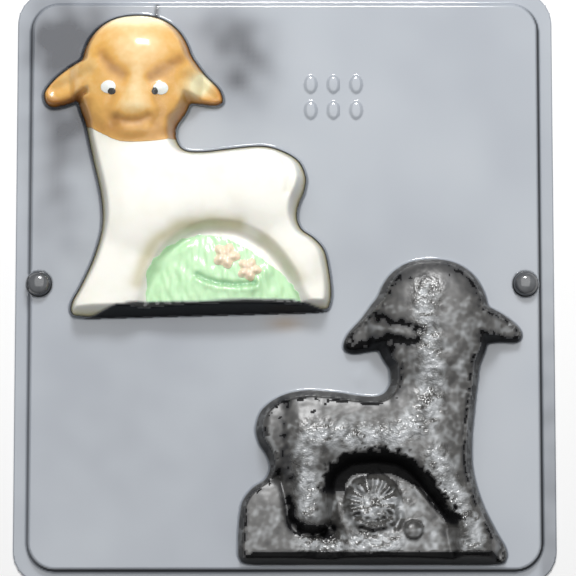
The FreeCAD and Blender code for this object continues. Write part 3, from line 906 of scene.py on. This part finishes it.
FACE_LOOP = closed_curve([
    (-72, 84), (-60, 72), (-47.5, 75.4), (-43.5, 74.0), (-40.1, 71.2), (-35.5, 68.2),
    (-29.5, 65.2), (-24.3, 64.4), (-17.2, 64.5), (-11.7, 65.1), (-8.6, 66.4), (-5, 68.8),
    (2, 70), (30, 72), (34, 125), (-72, 125)], 8)
GRASS_LOOP = closed_curve([
    (-21, -8), (-20.2, 4.5), (-19.5, 15.8), (-16.5, 20.9), (-12, 25), (-5.3, 28.5), (2.6, 29.6),
    (11.5, 27.3), (20.7, 21.8), (29.8, 14.6), (35.2, 8.2), (37.3, 3.8), (38.5, -8)], 8)


def casting_foot(points):
    return lamb_distance(points, FRONT_LOOPS) - FOOT_INSET


def face_area(points):
    return loop_distance(points, FACE_LOOP)


def grass_area(points):
    """The brushed edge of the grass wanders a little."""
    return loop_distance(points, GRASS_LOOP) + 0.7 * wandering(points, 2.6, 7.7)


def flower_area(side):
    centre, radius = FLOWERS[side]

    def distance(points):
        return radius * (1 - petal_reach(points, centre, radius)[0])

    return distance


def oval_area(centre, half):
    def distance(points):
        reach = np.hypot(*((points - np.array(centre)) / np.array(half)).T)
        return (1 - reach) * min(half)

    return distance


# Each colour: its area, and how far it stands over the fill
COLOURS = {
    "face_layer": (face_area, 0.05),
    "grass_layer": (grass_area, 0.05),
    "left_flower": (flower_area("left"), 0.10),
    "right_flower": (flower_area("right"), 0.10),
    "left_eye_white": (oval_area(EYES["left"], EYE_HALF), 0.10),
    "right_eye_white": (oval_area(EYES["right"], EYE_HALF), 0.10),
    "left_pupil": (oval_area(PUPILS["left"], PUPIL_HALVES["left"]), 0.15),
    "right_pupil": (oval_area(PUPILS["right"], PUPIL_HALVES["right"]), 0.15),
}
BROAD_COLOURS = ("face_layer", "grass_layer")
LAYER_DEPTH = 0.4
CASTING_HALF = 64
CASTING_MIDDLE = 58


def casting_zones(points):
    """Where the casting has to be fine: at its foot, at each colour's edge, on small colours."""
    edge = casting_foot(points)
    zones = [(-0.2 - edge, MEDIUM), (abs(edge - 0.1) - 0.5, FINE)]
    for name, (area, _) in COLOURS.items():
        gap = area(points)
        zones.append((np.maximum(abs(gap) - 0.3, -0.3 - edge), FINE))
        if name not in BROAD_COLOURS:
            zones.append((-0.3 - gap, FINE))
    return zones


def casting_height(points):
    edge = lamb_distance(points, FRONT_LOOPS)
    relief = front_relief(points) - CASTING_DROP
    skin = smooth_min(relief, WALL_SLOPE * (edge - WALL_INSET), CREST_FRONT)
    skin = smooth_min(skin, BASE_SLOPE * (points[:, 1] - WALL_INSET), BASE_CREST)
    return np.maximum(PANEL_TOP + skin, RIM_HEIGHT)


def casting_surface():
    """The casting's upper face, cut clean along its foot and along each colour."""
    bm = refined_grid(CASTING_HALF, CASTING_HALF,
                      lambda points: casting_zones(points + (0, CASTING_MIDDLE)))
    bmesh.ops.translate(bm, vec=(0, CASTING_MIDDLE, 0), verts=bm.verts)
    for area, _ in COLOURS.values():
        snap(bm, area, COLOUR_SNAP)
    snap(bm, casting_foot, LAMB_SNAP)
    delete_faces(bm, casting_foot(face_plan(bm)) < 0)
    points = plan_of(bm)
    set_heights(bm, casting_height(points))
    for edge in bm.edges:
        if edge.is_boundary:
            for vertex in edge.verts:
                vertex.co.z = RIM_HEIGHT
    bm.normal_update()
    shade_casting(bm, points)
    return bm


# Painted shade in the hollows, creases and undersides, painted highlights on the rises, a pale
# crown of thin caramel, and pale ears, partly thin caramel and partly painted highlight: lines
# with their width and tone, patches with their half sizes, tone and turn
PAINTED_SHADE_LINES = [
    *[(brow, 2.5, -0.70) for brow in BROWS], (MOUTH, 1.9, -0.70),
    *[(line, 2.4, 0.12) for line in EYE_RIDGES],
    ([(-30.5, 81), (-32, 76), (-30.5, 71)], 2.2, -0.30),
    ([(-14.5, 81), (-13.0, 76), (-15, 71)], 2.2, -0.35),
    ([(-41.5, 80), (-40, 75), (-34, 69.5), (-24, 66.8), (-12, 67.8)], 2.8, -0.45),
    ([(-9.5, 69), (-5.5, 78)], 3.0, -0.30),
    # Painted shade on the undersides of the ears
    ([(-45, 82.5), (-51, 81.4), (-55.5, 82.4)], 1.9, -0.75),
    ([(-3, 81.2), (7.5, 79.8)], 1.7, -0.45),
    # Painted shadow under the belly, beside the mound and in the tail's groove, and a darker grass
    # vein, partly leaf line and partly painted shade
    ([(-23.5, 12), (-20.5, 20), (-15.5, 27.5), (-7, 32.6), (4, 34.2), (15, 33.0)], 2.6, -0.75),
    ([(24, 27), (31, 20), (37, 12)], 2.8, -0.45),
    (GRASS_VEIN, 1.3, -1.0), ([(20, 8), (26, 15)], 2.2, -0.35), (FRONT_TAIL, 1.6, -0.15),
]
PAINT_AND_HIGHLIGHT_PATCHES = [
    ((-21, 112.5), (13, 4.0), 1.6), ((-21.5, 101), (12, 8), 0.30), ((-22.0, 84), (4.5, 9), 0.40),
    ((-23.8, 77.5), (7.0, 2.6), 0.30), ((-23, 68.6), (9, 2.2), 0.10),
    ((2.0, 86.6), (3.4, 6.0), 1.7, -40), ((-47, 91), (9, 4.0), 0.2, 30),
]
# Pale patches on the ears, partly thin caramel and partly painted highlight, kept from warming
PALE_EARS = [((2.0, 86.6), (4.0, 6.6), 1.3, -40), ((-47, 91), (8, 4), 1.0, 30)]
WARM_FROM = 3.6
WARM_SOFT = 3.2


def shade_casting(bm, points):
    """Painted shade in the hollows, painted highlights on the rises, warm edges but not on pale
    ears.
    """
    edge = lamb_distance(points, FRONT_LOOPS)
    pale = carved(points, [], PALE_EARS)
    warm = smooth_step((WARM_FROM - edge) / WARM_SOFT) * (1 - np.minimum(pale, 1))
    keep_values(bm, {"painted_shade_and_tone": carved(points, PAINTED_SHADE_LINES, PAINT_AND_HIGHLIGHT_PATCHES), "warm": warm})


def place_as_front(bm):
    """Turn and move the casting from the lamb's own frame to its place in the sheet."""
    turn = Matrix.Rotation(FRONT_TURN, 3, "Z")
    bmesh.ops.rotate(bm, cent=(0, 0, 0), matrix=turn, verts=bm.verts)
    bmesh.ops.translate(bm, vec=(FRONT_PLACE.x, FRONT_PLACE.y, 0), verts=bm.verts)


def painted_casting(materials):
    """The ivory fill as one closed piece, and each colour as a thin layer set into it."""
    bm = casting_surface()
    plan = face_plan(bm)
    surface = mesh_from("casting", bm)
    body = bmesh_from(surface)
    rim = [edge for edge in body.edges if edge.is_boundary]
    bmesh.ops.edgeloop_fill(body, edges=rim)
    bmesh.ops.recalc_face_normals(body, faces=body.faces)
    place_as_front(body)
    new_piece("ivory_body", body, [materials["lamb_body_fill"]], "casting", "lamb_body_fill")
    for name, (area, lift) in COLOURS.items():
        layer = bmesh_from(surface)
        layer.faces.index_update()
        delete_faces(layer, area(plan) < 0)
        layer.normal_update()
        for vertex in layer.verts:
            vertex.co += vertex.normal * lift
        thicken(layer, np.full(len(layer.verts), LAYER_DEPTH))
        place_as_front(layer)
        new_piece(name + "_coating", layer, [materials[name]], "casting", name)
    bpy.data.meshes.remove(surface)


# Materials


def linear(code):
    """An sRGB hex colour as linear red, green and blue."""
    parts = [int(code[index:index + 2], 16) / 255 for index in (0, 2, 4)]
    return [part / 12.92 if part <= 0.04045 else ((part + 0.055) / 1.055) ** 2.4
            for part in parts] + [1.0]


def add_node(tree, kind, settings=None, inputs=None, links=None, stops=None):
    """Add a node with its settings, its sockets' values and links, and a ramp's colour stops."""
    node = tree.nodes.new(kind)
    for name, value in (settings or {}).items():
        setattr(node, name, value)
    for name, value in (inputs or {}).items():
        node.inputs[name].default_value = value
    for name, (source, output) in (links or {}).items():
        tree.links.new(source.outputs[output], node.inputs[name])
    if stops:
        ramp = node.color_ramp.elements
        (ramp[0].position, first), *middle, (ramp[1].position, last) = stops
        ramp[0].color = linear(first)
        ramp[1].color = linear(last)
        for position, code in middle:
            ramp.new(position).color = linear(code)
    return node


def new_material(name):
    material = bpy.data.materials.new(name)
    material.use_nodes = True
    tree = material.node_tree
    tree.nodes.clear()
    return material, tree


def formed_styrene(name, specular, dullest, glossiest):
    """Vacuum-formed clear polystyrene: hard gloss, a little haze and a slight orange peel.

    Over the hollow half its colour is painted light and shade; it is all but clear over the
    casting.
    """
    material, tree = new_material(name)
    place = add_node(tree, "ShaderNodeTexCoord")
    painted_shade_and_tone, hollow_share, clear, dim_patch, warm_tint, gloss, fleece = [
        add_node(tree, "ShaderNodeAttribute", {"attribute_name": word})
        for word in ("painted_shade_and_tone", "hollow_share", "clear", "dim_patch", "warm_tint", "gloss", "fleece")]
    colours = {"data_type": "RGBA"}
    # Haze left by the forming heat drifts over about 60 mm
    haze = add_node(tree, "ShaderNodeTexNoise", inputs={"Scale": 1 / 0.060, "Detail": 2.0},
                    links={"Vector": (place, "Object")})
    panel = add_node(tree, "ShaderNodeValToRGB", links={"Fac": (haze, "Fac")},
                     stops=[(0.30, "9BA1AA"), (0.55, "A7ADB5"), (0.75, "AEB3BA")])
    dimmed = add_node(tree, "ShaderNodeMix", colours, {7: linear("3A3E47")},
                       {0: (dim_patch, "Fac"), 6: (panel, "Color")})
    tinted = add_node(tree, "ShaderNodeMix", colours, {7: linear("A08560")},
                       {0: (warm_tint, "Fac"), 6: (dimmed, 2)})
    # Painted shade darkens the panel towards near-black
    sheet = add_node(tree, "ShaderNodeMix", colours, {6: linear("0D0F14")},
                     {0: (painted_shade_and_tone, "Fac"), 7: (tinted, 2)})
    # Over the hollow the colour is its painted light and shade, from black to pale grey
    cavity = add_node(tree, "ShaderNodeValToRGB", links={"Fac": (painted_shade_and_tone, "Fac")},
                      stops=[(0.0, "050506"), (0.30, "1C1C1E"), (0.60, "4C4B49"),
                             (0.80, "868889"), (1.0, "BEC1C4")])
    base = add_node(tree, "ShaderNodeMix", colours,
                    links={0: (hollow_share, "Fac"), 6: (sheet, 2), 7: (cavity, "Color")})
    # Orange peel of the formed surface, about 4 mm across
    peel = add_node(tree, "ShaderNodeTexNoise", inputs={"Scale": 1 / 0.004, "Detail": 1.0},
                    links={"Vector": (place, "Object")})
    relief = add_node(tree, "ShaderNodeBump", inputs={"Strength": 0.05, "Distance": 0.0003},
                      links={"Height": (peel, "Fac")})
    # Fine curls of fleece on the polished ridges, about 1.4 mm across
    curls = add_node(tree, "ShaderNodeTexNoise", inputs={"Scale": 1 / 0.0014, "Detail": 2.0},
                     links={"Vector": (place, "Object")})
    raised = add_node(tree, "ShaderNodeMath", {"operation": "MULTIPLY"},
                      links={0: (curls, "Fac"), 1: (fleece, "Fac")})
    woolly = add_node(tree, "ShaderNodeBump", inputs={"Strength": 1.0, "Distance": 0.0010},
                      links={"Height": (raised, 0), "Normal": (relief, "Normal")})
    roughness = add_node(tree, "ShaderNodeMapRange",
                         inputs={"To Min": dullest, "To Max": glossiest},
                         links={"Value": (gloss, "Fac")})
    shader = add_node(tree, "ShaderNodeBsdfPrincipled",
                      inputs={"IOR": 1.57, "Specular IOR Level": specular},
                      links={"Base Color": (base, 2), "Roughness": (roughness, "Result"),
                             "Normal": (woolly, "Normal")})
    through = add_node(tree, "ShaderNodeBsdfTransparent")
    solid = add_node(tree, "ShaderNodeMapRange", inputs={"To Min": 0.95, "To Max": 0.03},
                     links={"Value": (clear, "Fac")})
    mixed = add_node(tree, "ShaderNodeMixShader",
                     links={0: (solid, "Result"), 1: (through, 0), 2: (shader, 0)})
    add_node(tree, "ShaderNodeOutputMaterial", links={"Surface": (mixed, 0)})
    return material


def sheet_materials():
    """Polished styrene on the flats and tops, and a dull copy for drawn walls and painted shadow.
    """
    return [formed_styrene("thermoformed_clear_styrene", 1.0, 0.46, 0.09),
            formed_styrene("dull_styrene_for_walls_and_painted_shadow", 0.1, 0.50, 0.45)]


def brushed_coating(name, dark, middle, light, warm_tint, mottle_mm, roughness=0.38):
    """Confectionery coating brushed into the mould: thick and thin streaks, painted shade, a
    moulded gloss.
    """
    material, tree = new_material(name)
    place = add_node(tree, "ShaderNodeTexCoord")
    painted_shade_and_tone = add_node(tree, "ShaderNodeAttribute", {"attribute_name": "painted_shade_and_tone"})
    warm = add_node(tree, "ShaderNodeAttribute", {"attribute_name": "warm"})
    mottle = add_node(tree, "ShaderNodeTexNoise",
                      inputs={"Scale": 1 / (mottle_mm * MM), "Detail": 4.0, "Roughness": 0.6},
                      links={"Vector": (place, "Object")})
    lively = add_node(tree, "ShaderNodeMapRange",
                      inputs={"From Min": 0.25, "From Max": 0.75, "To Min": -0.14, "To Max": 0.14},
                      links={"Value": (mottle, "Fac")})
    summed = add_node(tree, "ShaderNodeMath", {"operation": "ADD"},
                      links={0: (painted_shade_and_tone, "Fac"), 1: (lively, "Result")})
    share = add_node(tree, "ShaderNodeMapRange", inputs={"From Min": -1.0},
                     links={"Value": (summed, 0)})
    ramp = add_node(tree, "ShaderNodeValToRGB", links={"Fac": (share, "Result")},
                    stops=[(0.0, dark), (0.5, middle), (1.0, light)])
    tinted = add_node(tree, "ShaderNodeMix", {"data_type": "RGBA", "blend_type": "MULTIPLY"},
                       {7: linear(warm_tint)}, {0: (warm, "Fac"), 6: (ramp, "Color")})
    # Brush marks about 1.6 mm apart
    brush = add_node(tree, "ShaderNodeTexNoise", inputs={"Scale": 1 / 0.0016, "Detail": 3.0},
                     links={"Vector": (place, "Object")})
    bumps = add_node(tree, "ShaderNodeBump", inputs={"Strength": 0.10, "Distance": 0.0003},
                     links={"Height": (brush, "Fac")})
    shader = add_node(tree, "ShaderNodeBsdfPrincipled",
                      inputs={"Roughness": roughness, "IOR": 1.46,
                              "Subsurface Weight": 0.10, "Subsurface Scale": 0.002,
                              "Coat Weight": 0.6, "Coat Roughness": 0.12},
                      links={"Base Color": (tinted, 2), "Normal": (bumps, "Normal")})
    add_node(tree, "ShaderNodeOutputMaterial", links={"Surface": (shader, 0)})
    return material


def coatings():
    ivory = brushed_coating("ivory_coating", "CBC49C", "FAF8EE", "FFFFFA", "F6EDC2", 9)
    caramel = brushed_coating("caramel_coating", "96601A", "E8B05A", "FFF0C2", "EDD098", 3)
    green = brushed_coating("pale_green_coating", "90C290", "C4ECBA", "EEFBE6", "EEF8E4", 5)
    peach = brushed_coating("peach_coating", "EDB591", "FBE3C8", "FFF5E6", "F6E8DC", 1.6)
    white = brushed_coating("white_coating", "D8D8D0", "F4F4EE", "FFFFFF", "EEEEE6", 2.5, 0.25)
    dark = brushed_coating("dark_coating", "141312", "3A3833", "6A675E", "C8C6C0", 1.5, 0.25)
    return {"lamb_body_fill": ivory, "face_layer": caramel, "grass_layer": green,
            "left_flower": peach, "right_flower": peach, "left_eye_white": white,
            "right_eye_white": white, "left_pupil": dark, "right_pupil": dark}


# The set

# Each lamp: its tilt to the north in degrees, then in metres its distance, width and length, and
# its watts
LAMPS = {"north_window": (43, 0.90, 0.22, 0.17, 4.8),
         "overhead_softbox": (20, 1.15, 1.30, 1.70, 8.5)}
LAMP_EAST = 0.02
DAYLIGHT = 0.30
FLOOR_HALF = 3
CAMERA_TILT = math.radians(5.5)
CAMERA_DISTANCE = 0.958
CAMERA_LENS = 159.4
CAMERA_SENSOR = 36
CAMERA_SHIFT = (0.0056, -0.0069)


def plain_floor():
    bm = bmesh.new()
    bmesh.ops.create_grid(bm, x_segments=1, y_segments=1, size=FLOOR_HALF)
    floor = put_in_scene("floor", mesh_from("floor", bm))
    material, tree = new_material("painted_board")
    shader = add_node(tree, "ShaderNodeBsdfPrincipled",
                      inputs={"Base Color": linear("F4F4F4"), "Roughness": 0.9})
    add_node(tree, "ShaderNodeOutputMaterial", links={"Surface": (shader, 0)})
    floor.data.materials.append(material)


def area_lamp(name, tilt, away, width, length, watts):
    """A rectangular lamp over the sheet, tilted to the north by an angle."""
    light = bpy.data.lights.new(name, "AREA")
    light.shape = "RECTANGLE"
    light.size = width
    light.size_y = length
    light.energy = watts
    lamp = put_in_scene(name, light)
    turn = math.radians(tilt)
    lamp.location = (LAMP_EAST, away * math.sin(turn), away * math.cos(turn))
    lamp.rotation_euler = (-lamp.location).to_track_quat("-Z", "Y").to_euler()


def studio():
    world = bpy.data.worlds.new("studio")
    world.use_nodes = True
    background = world.node_tree.nodes["Background"]
    background.inputs["Color"].default_value = (1, 1, 1, 1)
    background.inputs["Strength"].default_value = DAYLIGHT
    bpy.context.scene.world = world
    for name, settings in LAMPS.items():
        area_lamp(name, *settings)
    bpy.context.scene.view_settings.view_transform = "Standard"


def photograph_camera():
    data = bpy.data.cameras.new("camera")
    data.lens = CAMERA_LENS
    data.sensor_width = CAMERA_SENSOR
    data.shift_x, data.shift_y = CAMERA_SHIFT
    camera = put_in_scene("camera", data)
    target = Vector((0, 0, PANEL_TOP * MM))
    away = Vector((0, -math.sin(CAMERA_TILT), math.cos(CAMERA_TILT)))
    camera.location = target + CAMERA_DISTANCE * away
    camera.rotation_euler = (target - camera.location).to_track_quat("-Z", "Y").to_euler()
    bpy.context.scene.camera = camera


photograph_camera()
studio()
plain_floor()
formed_sheet(sheet_materials())
painted_casting(coatings())
